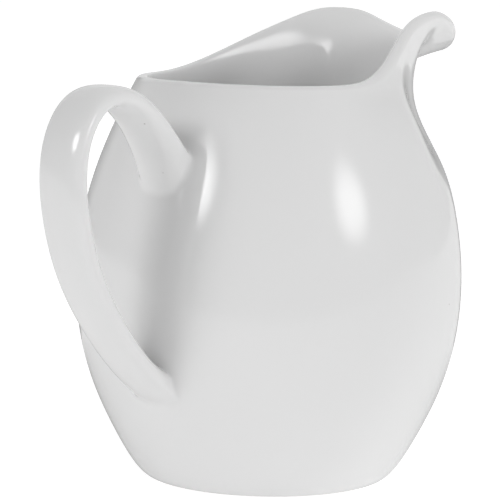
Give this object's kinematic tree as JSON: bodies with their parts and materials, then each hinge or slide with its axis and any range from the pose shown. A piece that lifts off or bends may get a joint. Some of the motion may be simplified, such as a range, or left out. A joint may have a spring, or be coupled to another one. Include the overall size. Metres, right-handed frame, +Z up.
{
  "type": "milk jug",
  "caption": "Round-bellied glazed porcelain milk jug with a rim drawn up into a long pouring lip, a strap handle opposite the lip and a narrow flat foot ring.",
  "frame": {"origin": "centre of the bounding box seen from above, in the plane the foot ring stands on", "axes": "+X towards the pouring lip, -X towards the handle, +Z up, and the jug is symmetric in Y"},
  "size_m": [0.1514, 0.0946, 0.1133],
  "materials": {
    "glazed white porcelain": "clear glossy glaze over neutral white porcelain"
  },
  "bodies": {
    "root": {"jug": "glazed white porcelain"}
  },
  "joints": []
}
